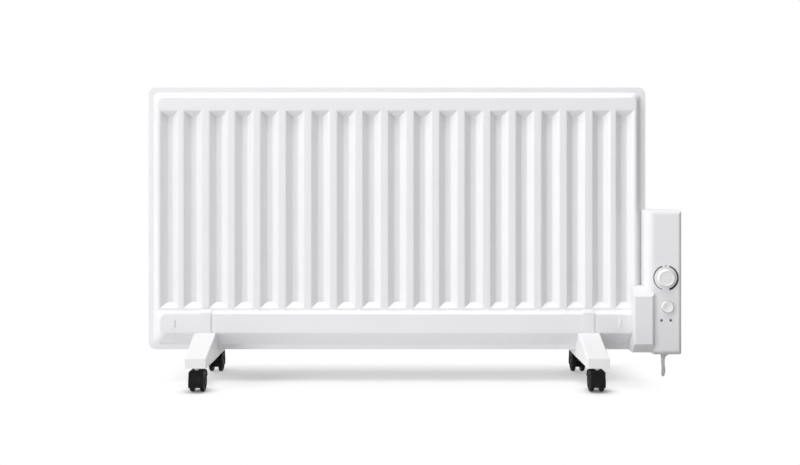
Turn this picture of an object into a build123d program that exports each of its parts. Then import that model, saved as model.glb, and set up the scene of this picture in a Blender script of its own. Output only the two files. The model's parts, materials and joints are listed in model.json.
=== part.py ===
from build123d import *
import math
import os

# Oil filled panel radiator on castor feet, in millimetres.
# X runs along the panel to its control box, Y from the front to the back, and Z up from the floor.
# The pieces are drawn with X = 0 at the panel's middle and Y = 0 at its weld seam. On export they
# move along X, so that the origin lies on the floor under the middle of the whole heater.

# Panel: two pressed sheets, welded together round a flat flange
PANEL_W = 978.0
PANEL_H = 515.0
PANEL_Z0 = 62.0
SHEET = 1.2
FLANGE = 9.0
FLANGE_R = 14.0
TRAY_DEPTH = 13.0
TRAY_RUN = 11.0
TRAY_R = 12.0
TRAY_BEND = 4.0

# Flutes: troughs pressed into the tray until both sheets meet at the seam
FLUTE_PITCH = 50.0
END_FLUTE_PITCH = 46.0
FLUTE_SIDE_MARGIN = 25.0
FLUTE_MOUTH = 35.0
FLUTE_FLOOR = 12.0
FLUTE_END_RUN = 10.0
FLUTE_BEND = 4.5
FLUTE_TOP_MARGIN = 46.0
FLUTE_FOOT_MARGIN = 3.0

# Header: the deeper bulge along the bottom, which holds the heating element
HEADER_DEPTH = 26.0
HEADER_FACE_Z0 = 35.0
HEADER_FACE_H = 39.0
HEADER_STEP_RUN = 12.0
HEADER_END_RUN = 18.0
HEADER_BEND = 5.0
DIMPLE_IN = 55.0
DIMPLE_W = 6.0
DIMPLE_H = 16.0
DIMPLE_RISE = 1.5
DIMPLE_TAPER = 30.0

# Heating element and its fittings in the header's right end
BOSS_R = 15.0
BOSS_BORE_R = 11.0
BOSS_INSIDE = 27.0
BOSS_OUTSIDE = 8.0
WELD_GAP = 0.2
THREAD_GAP = 0.1
SEAL_T = 1.5
HEX_R = 15.5
HEX_H = 8.5
ELEMENT_R = 4.0
ELEMENT_LIFT = 1.5
ELEMENT_SPREAD = 7.5
ELEMENT_SHORT = 65.0
TERMINAL_LEN = 14.0
TERMINAL_R = 2.2
BEAD_R = 4.2
BEAD_LEN = 6.0
SUPPORT_IN = 159.0
SUPPORT_T = 1.5
FILLER_IN = 55.0
FILLER_R = 6.0
FILLER_HEAD_R = 9.0
FILLER_HEAD_H = 5.0

# Control box: front cover, rear housing and the small terminal cover
BOX_LAP = 9.5
BOX_W = 71.0
BOX_DROP = 4.5
BOX_H = 279.7
BOX_FRONT = 40.0
BOX_REAR = 34.0
BOX_LEFT_R = 18.0
BOX_RIGHT_R = 8.0
BOX_END_R = 9.0
BOX_CORNER_R = 6.0
HOUSING_R = 8.0
HOUSING_END_R = 7.0
COVER_WALL = 2.5
RIM_GAP = 0.3
EDGE_GAP = 0.5
TERM_LAP = 32.3
TERM_W = 39.9
TERM_UP = 3.0
TERM_H = 128.5
TERM_FRONT = 47.0
TERM_SIDE_BEVEL = 1.5
TERM_RIGHT_BEVEL = 5.0
TERM_FOOT_BEVEL = 19.0
TERM_TOP_BEVEL = 18.0
COVER_GAP = 0.4
POST_R = 5.5
POST_INSET = 10.0
POST_BESIDE = 9.0
SCREW_R = 1.7
SCREW_HEAD_R = 3.4
SCREW_HEAD_H = 2.4
SCREW_SEAT = 8.0
SCREW_GRIP = 12.0
SCREW_GAP = 0.2
PLATE_UP = 97.5
PLATE_DOWN = 47.2
PLATE_H = 30.0
PLATE_T = 2.0
PLATE_REACH = 44.0
PLATE_LAP = 8.0

# Thermostat, placed from the box's right side and foot
DIAL_IN = 31.6
DIAL_UP = 148.8
KNOB_R = 17.5
KNOB_TOP_R = 16.0
KNOB_H = 8.5
KNOB_DISH = 1.0
KNOB_RIM = 2.0
KNOB_GAP = 0.6
KNOB_ANGLE = 115.0
POINTER_W = 1.8
POINTER_L = 6.5
POINTER_DEPTH = 0.8
SPINDLE_R = 3.0
SPINDLE_FLAT = 2.2
SPINDLE_IN_KNOB = 4.5
SPINDLE_IN_BODY = 12.0
RUN_GAP = 0.06
BUSH_R = 5.0
HOLE_GAP = 0.4
STAT_W = 38.0
STAT_H = 44.0
STAT_D = 24.0

# Push button and its switch
BUTTON_IN = 28.6
BUTTON_UP = 92.8
BUTTON_R = 11.8
BUTTON_TOP_R = 10.2
BUTTON_RISE = 5.0
BUTTON_LAND = 1.2
BUTTON_DISH = 2.0
BUTTON_TRAVEL = 2.5
BUTTON_FLANGE_R = 13.5
BUTTON_FLANGE_T = 1.5
BUTTON_STEM_R = 4.0
BUTTON_STEM_L = 8.0
SWITCH_COLLAR_R = 15.5
SWITCH_SIDE = 31.0
SWITCH_D = 18.0

# Pilot lamps
LAMP_IN = 31.1
LAMP_UP = 66.9
LAMP_SPREAD = 8.9
LAMP_R = 2.4
LAMP_RISE = 1.4
LAMP_FLANGE_R = 3.8
LAMP_FLANGE_T = 1.5
LAMP_LEN = 12.0

# Connections inside the box
BLOCK_W = 40.0
BLOCK_H = 20.0
BLOCK_D = 13.0
BLOCK_UP = 147.5
BLOCK_WAYS = 3
BLOCK_SCREW_R = 2.6
CUTOUT_OUT = 13.0
CUTOUT_R = 8.5
CUTOUT_D = 9.0
CUTOUT_TAB = 5.0
CUTOUT_TAB_W = 6.0
CUTOUT_TAB_T = 0.8
WIRE_R = 1.2
WIRE_SPACING = 2.52
WIRE_BEND_RISE = 17.0
WIRE_LOOP_RISE = 20.0
WIRE_LOOP_Y = 2.0

# Mains lead
CORD_D = 6.5
CORD_IN = 23.5
CORD_Y = 12.0
BOOT_LEN = 15.5
BOOT_TOP_R = 5.4
BOOT_END_R = 4.1
BOOT_FLANGE_R = 8.5
BOOT_FLANGE_T = 2.0
CORD_GAP = 0.05
TAIL_UP = 40.5
CLAMP_UP = 22.5
CLAMP_H = 9.0
CLAMP_W = 24.0
CLAMP_T = 2.5
FLOOR_LIFT = 0.15

BEND_SHARE = 0.45

# The spare lead lies in a tied coil behind the panel
COIL_R = 45.0
COIL_PITCH = 7.0
COIL_TURNS = 4
COIL_LEAVE_HEADING = 90.0
COIL_STEPS_PER_TURN = 4
COIL_CLIMB = 180.0
TIE_W = 5.0
TIE_T = 1.0
TIE_GAP = 0.3
TIE_ANGLE = 205.0

# Plug
PLUG_R = 18.2
PLUG_LEN = 37.0
PLUG_NECK_R = 12.0
PLUG_SHOULDER = 2.0
PLUG_BOOT_LEN = 20.0
PLUG_BOOT_R = 4.4
PLUG_BOOT_WIDE_R = 7.0
PIN_R = 2.4
PIN_LEN = 19.0
PIN_TIP = 1.0
PIN_SPACING = 19.0
PIN_ROOT = 6.0
PIN_ROOT_R = 2.0
CLIP_W = 5.0
CLIP_T = 1.2
CLIP_LEN = 20.0

# Where the lead goes: its distance behind the outlet, its sideways drift and its height
CORD_R = CORD_D / 2
COIL_Z = CORD_R + FLOOR_LIFT + TIE_T + FLOOR_LIFT
COIL_Z2 = COIL_Z + COIL_PITCH
LEAD_TOP = PANEL_Z0 - BOX_DROP - BOOT_LEN
LEAD_LOW = CORD_R + FLOOR_LIFT
LEAD_HEADING = 14.6
LEAD_ROUTE = (
    (0.0, 0.0, LEAD_TOP),
    (0.0, 0.0, 29.8),
    (5.0, 0.0, 17.7),
    (14.3, 0.0, 8.4),
    (26.4, 0.0, LEAD_LOW),
    (45.0, 0.5, LEAD_LOW),
    (77.0, 1.8, LEAD_LOW),
    (130.0, 0.6, LEAD_LOW),
    (202.0, -2.0, LEAD_LOW),
    (258.0, 2.0, LEAD_LOW),
    (306.0, 17.0, COIL_Z),
    (346.0, 24.0, COIL_Z),
    (376.0, 24.0, COIL_Z),
)

# From the coil to the plug: distance on from the coil, sideways drift and height
PLUG_Z = PLUG_R + FLOOR_LIFT
END_ROUTE = (
    (0.0, 0.0, COIL_Z2),
    (17.0, 0.0, COIL_Z2),
    (33.0, 0.8, (COIL_Z2 + PLUG_Z) / 2),
    (50.0, 1.2, PLUG_Z),
    (64.0, 1.2, PLUG_Z),
)

# Feet
FOOT_IN = 116.5
FOOT_W = 42.0
FOOT_TOE_W = 40.5
FOOT_REACH = 126.0
FOOT_CLEAR = 6.0
FOOT_TOE_H = 18.0
CHEEK_Y = 31.0
CHEEK_RISE = 1.0
FOOT_WALL = 3.0
FOOT_BLOCK_Y = 38.0
FOOT_ROUND = 2.0
SEAT_GAP = 0.3

# Straps that hook over the header and pull it down into the feet
STRAP_W = 21.0
STRAP_T = 1.5
STRAP_UP = 12.0
STRAP_HOOK = 10.5
STRAP_GAP = 0.2
STUD_R = 2.5
STUD_OUT = 1.5
NUT_R = 4.6
NUT_H = 4.0
NUT_POCKET_R = 7.0
NUT_POCKET_H = 5.0

# Castors
CASTOR_IN = 16.0
TRAIL = 11.0
WHEEL_R = 19.0
WHEEL_W = 8.0
WHEEL_GAP = 12.0
WHEEL_SHOULDER = 3.5
WHEEL_DISH_R = 13.5
WHEEL_HUB_R = 6.0
WHEEL_DISH = 2.0
WHEEL_DRAFT = 1.0
WHEEL_CAP = 2.2
WEB_W = 11.0
WEB_R = 10.5
HOOD_CLEAR = 1.4
HOOD_T = 2.6
HOOD_W = 28.0
HOOD_RISE = 4.0
HOOD_BROW = 9.0
HOOD_ROUND = 5.0
HOOD_FRONT_Z = 10.0
HOOD_BACK_Z = 27.0
AXLE_R = 2.5
AXLE_GAP = 0.06
PRESS_GAP = 0.02
STEM_R = 4.0
STEM_IN_HOOD = 19.0
STEM_IN_FOOT = 17.0
STEM_COLLAR_R = 6.2
STEM_COLLAR_T = 1.5
SOCKET_R = 6.0
SOCKET_LEN = 18.0
SOCKET_BOSS_R = 9.0

# Places that follow from the sizes above
HALF_W = PANEL_W / 2
PANEL_Z1 = PANEL_Z0 + PANEL_H
VESSEL_X = HALF_W - FLANGE
VESSEL_Z0 = PANEL_Z0 + FLANGE
VESSEL_Z1 = PANEL_Z1 - FLANGE
FACE_Z0 = PANEL_Z0 + HEADER_FACE_Z0
FACE_Z1 = FACE_Z0 + HEADER_FACE_H
ELEMENT_Z = (VESSEL_Z0 + FACE_Z1) / 2 + ELEMENT_LIFT
BOX_X0 = HALF_W - BOX_LAP
BOX_X1 = BOX_X0 + BOX_W
BOX_Z0 = PANEL_Z0 - BOX_DROP
BOX_Z1 = BOX_Z0 + BOX_H
TERM_X0 = HALF_W - TERM_LAP
TERM_X1 = TERM_X0 + TERM_W
TERM_Z0 = BOX_Z0 + TERM_UP
TERM_Z1 = TERM_Z0 + TERM_H
ELEMENT_END_X = -HALF_W + ELEMENT_SHORT
SUPPORT_X = -HALF_W + SUPPORT_IN
FILLER_X = -HALF_W + FILLER_IN
DIMPLE_X = HALF_W - DIMPLE_IN
CUTOUT_X = HALF_W + CUTOUT_OUT
PLATE_ZS = (BOX_Z0 + PLATE_UP, BOX_Z1 - PLATE_DOWN)
DIAL_X = BOX_X1 - DIAL_IN
DIAL_Z = BOX_Z0 + DIAL_UP
BUTTON_X = BOX_X1 - BUTTON_IN
BUTTON_Z = BOX_Z0 + BUTTON_UP
LAMP_X = BOX_X1 - LAMP_IN
LAMP_Z = BOX_Z0 + LAMP_UP
BLOCK_Z = BOX_Z0 + BLOCK_UP
CORD_X = BOX_X1 - CORD_IN
TAIL_TOP = BOX_Z0 + TAIL_UP
CLAMP_Z = BOX_Z0 + CLAMP_UP
FOOT_X = HALF_W - FOOT_IN
HOOD_R = WHEEL_R + HOOD_CLEAR + HOOD_T
HOOD_TOP = 2 * WHEEL_R + HOOD_RISE
FOOT_UNDER = HOOD_TOP + FOOT_CLEAR
STRAP_LOW = FOOT_UNDER + STRAP_UP
STUD_END = FOOT_UNDER - STUD_OUT
CASTOR_Y = FOOT_REACH - CASTOR_IN
STEM_LOW = HOOD_TOP - STEM_IN_HOOD
STEM_TOP = FOOT_UNDER + STEM_IN_FOOT
SOCKET_FLOOR = FOOT_UNDER + SOCKET_LEN
RIM_Y = -(SHEET + RIM_GAP)
HOUSING_X0 = HALF_W + EDGE_GAP
WALL_Y = -BOX_FRONT + COVER_WALL
REAR_Y = BOX_REAR - COVER_WALL
BOSS_X1 = HALF_W + BOSS_OUTSIDE
HEX_X = BOSS_X1 + SEAL_T
LEAD_DIR = Vector(math.sin(math.radians(LEAD_HEADING)), math.cos(math.radians(LEAD_HEADING)), 0)
LEAD_SIDE = Vector(LEAD_DIR.Y, -LEAD_DIR.X, 0)
ORIGIN_X = (BOX_X1 - HALF_W) / 2


def block(x0, x1, y0, y1, z0, z1):
    """A box between two corners."""
    return Pos((x0 + x1) / 2, (y0 + y1) / 2, (z0 + z1) / 2) * Box(x1 - x0, y1 - y0, z1 - z0)


def rod_x(x0, x1, y, z, radius):
    """A round bar along X."""
    return Pos((x0 + x1) / 2, y, z) * Rot(0, 90, 0) * Cylinder(radius, x1 - x0)


def rod_y(x, y0, y1, z, radius):
    """A round bar along Y."""
    return Pos(x, (y0 + y1) / 2, z) * Rot(90, 0, 0) * Cylinder(radius, y1 - y0)


def rod_z(x, y, z0, z1, radius):
    """A round bar along Z."""
    return Pos(x, y, (z0 + z1) / 2) * Cylinder(radius, z1 - z0)


def turned_x(*points):
    """A turned piece about X, from its profile of places along the axis and radii."""
    return revolve(make_face(Polyline(*points, close=True)), Axis.X)


def turned_y(*points):
    """A turned piece about Y, from its profile of places along the axis and radii."""
    return revolve(make_face(Polyline(*[(r, y) for y, r in points], close=True)), Axis.Y)


def turned_z(*points):
    """A turned piece about Z, from its profile of places along the axis and radii."""
    return revolve(Plane.XZ * make_face(Polyline(*[(r, z) for z, r in points], close=True)), Axis.Z)


def along_x(x0, x1, *points):
    """A bar along X with the given outline of (y, z) points."""
    outline = make_face(Polyline(*points, close=True))
    return extrude(Plane.YZ.offset(x0) * outline, x1 - x0)


def tube(path, radius):
    """A round tube along a path."""
    return sweep(Plane(path @ 0, z_dir=path % 0) * Circle(radius), path=path)


def pieces(solids):
    """Separate pieces of one kind, kept together."""
    return Compound(children=list(solids))


def corners(rounded_r, x0, x1, z0, z1):
    """An upright rectangle with rounded corners."""
    return Pos((x0 + x1) / 2, (z0 + z1) / 2) * RectangleRounded(x1 - x0, z1 - z0, rounded_r)


def pressed(x0, x1, z0, z1, depth, runs, radius, skin=0.0):
    """A drafted form that rises from the seam to the front, made smaller all round by a skin."""
    rise = depth - skin
    foot = [skin * math.hypot(depth, run) / depth for run in runs]
    head = [inset + run * rise / depth for inset, run in zip(foot, runs)]
    sections = []
    for level, (left, right, low, high) in ((0, foot), (rise, head)):
        outline = corners(radius - skin, x0 + left, x1 - right, z0 + low, z1 - high)
        sections.append(Plane.XZ.offset(level) * outline)
    return loft(sections, ruled=True)


def soften_front(form, radius):
    """Round the edge of a form's front face."""
    return fillet(form.faces().sort_by(Axis.Y)[0].edges(), radius)


def header_form(skin=0.0):
    """The header's bulge."""
    runs = (HEADER_END_RUN, HEADER_END_RUN, FACE_Z0 - VESSEL_Z0, HEADER_STEP_RUN)
    top = FACE_Z1 + HEADER_STEP_RUN
    return pressed(-VESSEL_X, VESSEL_X, VESSEL_Z0, top, HEADER_DEPTH, runs, TRAY_R, skin)


def tray_form(skin=0.0):
    """The tray above the header, which starts inside the header."""
    runs = (TRAY_RUN, TRAY_RUN, TRAY_RUN, TRAY_RUN)
    return pressed(-VESSEL_X, VESSEL_X, FACE_Z0, VESSEL_Z1, TRAY_DEPTH, runs, TRAY_R, skin)


def trough(start, end, run, floor_y, floor_bend, skin):
    """A trough's outline in (along, depth): sloping walls with rounded bends at the mouth and the floor."""
    depth = TRAY_DEPTH - SHEET
    shift = skin * (math.hypot(run, depth) - run) / depth
    mouth_y = -(TRAY_DEPTH - skin)
    reach = run * (floor_y - mouth_y) / depth
    left = start - shift
    right = end + shift
    mouth_bend = FLUTE_BEND - skin
    bends = FilletPolyline(
        (left - FLUTE_BEND, mouth_y),
        (left, mouth_y),
        (left + reach, floor_y),
        (right - reach, floor_y),
        (right, mouth_y),
        (right + FLUTE_BEND, mouth_y),
        radius=(mouth_bend, floor_bend, floor_bend, mouth_bend),
    )
    roof = Polyline(
        (right + FLUTE_BEND, mouth_y),
        (right + FLUTE_BEND, mouth_y - TRAY_DEPTH),
        (left - FLUTE_BEND, mouth_y - TRAY_DEPTH),
        (left - FLUTE_BEND, mouth_y),
    )
    return make_face(bends + roof)


def flute_cutter(skin):
    """The space of one flute: its section carried along Z, cut off by sloping ends."""
    half = FLUTE_MOUTH / 2
    across = trough(-half, half, half - FLUTE_FLOOR / 2, skin - SHEET, FLUTE_BEND + skin, skin)
    step_top = FACE_Z1 + HEADER_STEP_RUN * TRAY_DEPTH / HEADER_DEPTH
    low = step_top + FLUTE_FOOT_MARGIN
    high = PANEL_Z1 - FLUTE_TOP_MARGIN
    along = trough(low, high, FLUTE_END_RUN, TRAY_DEPTH, 0, skin)
    shaft = Pos(0, 0, PANEL_Z0) * extrude(across, PANEL_H)
    side = Plane((0, 0, 0), x_dir=(0, 0, 1), z_dir=(-1, 0, 0))
    profile = Pos(FLUTE_MOUTH, 0, 0) * extrude(side * along, 2 * FLUTE_MOUTH)
    return shaft & profile


def flute_places():
    """The middles of the flutes: an even row, with the last one at each end set closer."""
    room = HALF_W - FLUTE_SIDE_MARGIN - FLUTE_MOUTH / 2 - END_FLUTE_PITCH
    each_side = int(room // FLUTE_PITCH)
    row = [i * FLUTE_PITCH for i in range(-each_side, each_side + 1)]
    last = each_side * FLUTE_PITCH + END_FLUTE_PITCH
    return [-last] + row + [last]


def vessel_half(skin):
    """Half the vessel's form, outside or, with a skin, inside."""
    header = soften_front(header_form(skin), HEADER_BEND - skin)
    tray = soften_front(tray_form(skin), TRAY_BEND - skin)
    cutter = flute_cutter(skin)
    return header + tray - [Pos(x, 0, 0) * cutter for x in flute_places()]


def sheet_half():
    """The front sheet as pressed: flange, flutes and header."""
    rim = corners(FLANGE_R, -HALF_W, HALF_W, PANEL_Z0, PANEL_Z1)
    plate = extrude(Plane.XZ * rim, SHEET)
    sheet = plate + vessel_half(0.0) - vessel_half(SHEET)
    sheet -= rod_x(BOSS_X1 - BOSS_OUTSIDE - BOSS_INSIDE, BOSS_X1, 0, ELEMENT_Z, BOSS_R + WELD_GAP)
    for z in PLATE_ZS:
        sheet -= rod_y(plate_screw_x(), -SHEET, 0, z, SCREW_R + SCREW_GAP)
    return sheet


def plate_screw_x():
    """Where the flange is drilled for a mounting plate."""
    return HALF_W - PLATE_LAP / 2


def dimple():
    """The small upright bead near each end of the header's face."""
    base = Plane.XZ.offset(HEADER_DEPTH) * Pos(0, (FACE_Z0 + FACE_Z1) / 2)
    return extrude(base * SlotOverall(DIMPLE_H, DIMPLE_W, rotation=90), DIMPLE_RISE, taper=DIMPLE_TAPER)


def panels():
    """Both sheets. The rear one mirrors the front one and takes the filler plug."""
    plain = sheet_half()
    rear = mirror(plain, Plane.XZ)
    rear -= rod_y(FILLER_X, 0, HEADER_DEPTH, ELEMENT_Z, FILLER_R)
    front = plain
    for x in (-DIMPLE_X, DIMPLE_X):
        front += Pos(x, 0, 0) * dimple()
    return {"front_panel": front, "rear_panel": rear}


def element_parts():
    """The collar, the screwed-in plug, and the hairpin heater that it carries."""
    x0 = HALF_W - BOSS_INSIDE
    boss = rod_x(x0, BOSS_X1, 0, ELEMENT_Z, BOSS_R) - rod_x(x0, BOSS_X1, 0, ELEMENT_Z, BOSS_BORE_R)
    shank_r = BOSS_BORE_R - THREAD_GAP
    seal = rod_x(BOSS_X1, HEX_X, 0, ELEMENT_Z, BOSS_R) - rod_x(BOSS_X1, HEX_X, 0, ELEMENT_Z, shank_r)
    head = extrude(Plane.YZ.offset(HEX_X) * Pos(0, ELEMENT_Z) * RegularPolygon(HEX_R, 6), HEX_H)
    plug = rod_x(x0, HEX_X, 0, ELEMENT_Z, shank_r) + head
    low = ELEMENT_Z - ELEMENT_SPREAD
    high = ELEMENT_Z + ELEMENT_SPREAD
    there = Line((x0, 0, low), (ELEMENT_END_X, 0, low))
    bend = ThreePointArc(
        (ELEMENT_END_X, 0, low), (ELEMENT_END_X - ELEMENT_SPREAD, 0, ELEMENT_Z), (ELEMENT_END_X, 0, high)
    )
    back = Line((ELEMENT_END_X, 0, high), (x0, 0, high))
    hairpin = tube(Wire([there, bend, back]), ELEMENT_R)
    ends = []
    face = HEX_X + HEX_H
    for z in (low, high):
        bead = rod_x(face, face + BEAD_LEN, 0, z, BEAD_R)
        ends.append(bead + rod_x(face + BEAD_LEN, face + TERMINAL_LEN, 0, z, TERMINAL_R))
    return {
        "element_boss": boss,
        "element_seal": seal,
        "element_plug": plug,
        "heating_element": hairpin,
        "element_terminals": pieces(ends),
        "element_support": element_support(low, high),
    }


def element_support(low, high):
    """A plate across the header that holds the hairpin's far end clear of the walls."""
    section = soften_front(header_form(SHEET + SEAT_GAP), HEADER_BEND - SHEET)
    section += mirror(section, Plane.XZ)
    slice_box = block(SUPPORT_X, SUPPORT_X + SUPPORT_T, -HEADER_DEPTH, HEADER_DEPTH, VESSEL_Z0, FACE_Z1)
    plate = section & slice_box
    for z in (low, high):
        plate -= rod_x(SUPPORT_X, SUPPORT_X + SUPPORT_T, 0, z, ELEMENT_R + CORD_GAP)
    return plate


def filler_plug():
    """The screw plug in the rear of the header, where the oil went in."""
    shank = rod_y(FILLER_X, HEADER_DEPTH - FILLER_HEAD_H, HEADER_DEPTH, ELEMENT_Z, FILLER_R - THREAD_GAP)
    outline = Pos(FILLER_X, ELEMENT_Z) * RegularPolygon(FILLER_HEAD_R, 6)
    return shank + extrude(Plane.XZ.offset(-HEADER_DEPTH) * outline, -FILLER_HEAD_H)


def panel_space(gap):
    """The room that the panel takes up in whatever is fitted round it."""
    front = header_form(-gap) + tray_form(-gap)
    rim = block(-HALF_W - gap, HALF_W + gap, -SHEET - gap, SHEET + gap, PANEL_Z0 - gap, PANEL_Z1)
    return front + mirror(front, Plane.XZ) + rim


def moulded_form(x0, x1, front, back, z0, z1, left_r, right_r, end_r, corner_r):
    """A box with rounded corners, whose front rounds over to its sides and its ends."""
    plan = make_face(Polyline((x0, back), (x0, front), (x1, front), (x1, back), close=True))
    plan = fillet(plan.vertices().group_by(Axis.Y)[0].sort_by(Axis.X)[0], left_r)
    plan = fillet(plan.vertices().group_by(Axis.Y)[0].sort_by(Axis.X)[-1], right_r)
    side = make_face(Polyline((back, z0), (front, z0), (front, z1), (back, z1), close=True))
    side = fillet(side.vertices().group_by(Axis.X)[0], end_r)
    front_face = Plane.XZ.offset(-back) * corners(corner_r, x0, x1, z0, z1)
    form = extrude(Pos(0, 0, z0) * plan, z1 - z0, dir=(0, 0, 1))
    form &= extrude(Plane.YZ.offset(x0) * side, x1 - x0, dir=(1, 0, 0))
    return form & extrude(front_face, back - front, dir=(0, -1, 0))


def front_form(inset):
    """The control cover's outside, or the room inside its wall."""
    return moulded_form(
        BOX_X0 + inset, BOX_X1 - inset, inset - BOX_FRONT, RIM_Y, BOX_Z0 + inset, BOX_Z1 - inset,
        BOX_LEFT_R - inset, BOX_RIGHT_R - inset, BOX_END_R - inset, BOX_CORNER_R - inset,
    )


def rear_form(inset):
    """The housing's outside, or the room inside its wall."""
    radii = [r - inset for r in (HOUSING_R, HOUSING_R, HOUSING_END_R, BOX_CORNER_R)]
    form = moulded_form(
        HOUSING_X0 + inset, BOX_X1 - inset, inset - BOX_REAR, -RIM_Y, BOX_Z0 + inset, BOX_Z1 - inset, *radii
    )
    return mirror(form, Plane.XZ)


def post_places():
    """Where screws join the front cover to the rear housing."""
    x0 = TERM_X1 + POST_BESIDE
    x1 = BOX_X1 - POST_INSET
    z0 = BOX_Z0 + POST_INSET
    z1 = BOX_Z1 - POST_INSET
    return [(x0, z1), (x1, z1), (x0, z0), (x1, z0)]


def terminal_room(gap):
    """The space for the terminal cover, open below."""
    middle = (TERM_Z0 + TERM_Z1) / 2
    below = block(BOX_X0, TERM_X1 + gap, -BOX_FRONT, RIM_Y, BOX_Z0, middle)
    return terminal_form(-gap) + below


def control_cover():
    """The front of the control box, notched for the terminal cover."""
    room = front_form(COVER_WALL) - terminal_room(COVER_GAP + COVER_WALL)
    cover = front_form(0.0) - terminal_room(COVER_GAP) - room
    for x, z in post_places():
        cover += rod_y(x, WALL_Y, RIM_Y, z, POST_R)
        cover -= rod_y(x, RIM_Y - SCREW_GRIP, RIM_Y, z, SCREW_R)
    cover -= rod_y(DIAL_X, -BOX_FRONT, WALL_Y, DIAL_Z, BUSH_R + HOLE_GAP)
    cover -= rod_y(BUTTON_X, -BOX_FRONT, WALL_Y, BUTTON_Z, BUTTON_R + HOLE_GAP)
    for x in lamp_places():
        cover -= rod_y(x, -BOX_FRONT, WALL_Y, LAMP_Z, LAMP_R + SCREW_GAP)
    return cover - element_way()


def element_way():
    """The opening in the covers for the element's collar and its plug."""
    return rod_x(TERM_X0, HEX_X + HEX_H, 0, ELEMENT_Z, HEX_R + COVER_GAP)


def control_housing():
    """The rear of the control box, which hangs on the panel's edge and holds the lead."""
    x0 = HOUSING_X0 + COVER_WALL
    shell = rear_form(0.0) - rear_form(COVER_WALL)
    for x, z in post_places():
        shell += rod_y(x, RIM_Y, REAR_Y, z, POST_R)
        shell -= rod_y(x, RIM_Y, SCREW_SEAT, z, SCREW_R + SCREW_GAP)
        shell -= rod_y(x, SCREW_SEAT, BOX_REAR, z, SCREW_HEAD_R + HOLE_GAP)
    plate_y = SHEET + PLATE_T
    for z in PLATE_ZS:
        shell -= block(HOUSING_X0, x0, RIM_Y, plate_y + SCREW_GAP, *plate_span(z, SCREW_GAP))
        shell += rod_y(plate_post_x(), plate_y, REAR_Y, z, POST_R)
        shell -= rod_y(plate_post_x(), plate_y, plate_y + SCREW_GRIP, z, SCREW_R)
    shell -= rod_z(CORD_X, CORD_Y, BOX_Z0, BOX_Z0 + COVER_WALL, BOOT_TOP_R)
    return shell - element_way()


def plate_span(z, gap=0.0):
    """A mounting plate's lower and upper edge."""
    return z - PLATE_H / 2 - gap, z + PLATE_H / 2 + gap


def plate_post_x():
    """Where a mounting plate is screwed to the housing."""
    return HALF_W + PLATE_REACH - PLATE_LAP


def mounting_plates():
    """Two steel straps from the panel's flange into the housing."""
    plates = []
    for z in PLATE_ZS:
        plate = block(HALF_W - PLATE_LAP, HALF_W + PLATE_REACH, SHEET, SHEET + PLATE_T, *plate_span(z))
        plate -= rod_y(plate_screw_x(), SHEET, SHEET + PLATE_T, z, SCREW_R)
        plate -= rod_y(plate_post_x(), SHEET, SHEET + PLATE_T, z, SCREW_R + SCREW_GAP)
        plates.append(plate)
    return pieces(plates)


def screw(x, seat, z, length, way):
    """A round headed screw along Y whose head sits on the seat and whose shank points the given way."""
    head_y = seat - way * SCREW_HEAD_H
    tip = seat + way * length
    shank = rod_y(x, min(seat, tip), max(seat, tip), z, SCREW_R)
    return rod_y(x, min(seat, head_y), max(seat, head_y), z, SCREW_HEAD_R) + shank


def plate_screws():
    """Screws that hold the mounting plates to the flange and to the housing."""
    screws = []
    for z in PLATE_ZS:
        screws.append(screw(plate_screw_x(), SHEET + PLATE_T, z, 2 * SHEET + PLATE_T, -1))
        screws.append(screw(plate_post_x(), SHEET, z, PLATE_T + SCREW_GRIP - SCREW_GAP, 1))
    return pieces(screws)


def cover_screws():
    """Screws from the back, through the housing's posts into the front cover."""
    length = SCREW_SEAT - RIM_Y + SCREW_GRIP - SCREW_GAP
    return pieces(screw(x, SCREW_SEAT, z, length, -1) for x, z in post_places())


def terminal_form(inset):
    """The terminal cover's outline, or the room inside its wall."""
    x0 = TERM_X0 + inset
    x1 = TERM_X1 - inset
    z0 = TERM_Z0 + inset
    z1 = TERM_Z1 - inset
    form = block(x0, x1, -TERM_FRONT + inset, RIM_Y, z0, z1)
    bevels = (TERM_SIDE_BEVEL, TERM_RIGHT_BEVEL, TERM_FOOT_BEVEL, TERM_TOP_BEVEL)
    planes = (((x0, 0), (1, 0)), ((x1, 0), (-1, 0)), ((0, z0), (0, 1)), ((0, z1), (0, -1)))
    for bevel, ((x, z), (toward_x, toward_z)) in zip(bevels, planes):
        cut = bevel - inset * (2 - math.sqrt(2))
        form -= bevel_wedge(x, z, toward_x, toward_z, cut, -TERM_FRONT + inset)
    return form


def bevel_wedge(x, z, toward_x, toward_z, cut, front):
    """The corner that a bevel takes off along one edge of a front face."""
    size = max(cut, 0.0) * math.sqrt(2)
    bar = Box(size, size, TERM_H * 2) if toward_x else Box(TERM_H * 2, size, size)
    turn = Rot(0, 0, 45) if toward_x else Rot(45, 0, 0)
    middle_z = z if toward_z else (TERM_Z0 + TERM_Z1) / 2
    middle_x = x if toward_x else (TERM_X0 + TERM_X1) / 2
    return Pos(middle_x, front, middle_z) * turn * bar


def terminal_cover():
    """The small cover over the header's end, cut to fit round the panel."""
    cover = terminal_form(0.0) - terminal_form(COVER_WALL)
    cover -= panel_space(COVER_GAP)
    return cover - element_way()


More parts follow.
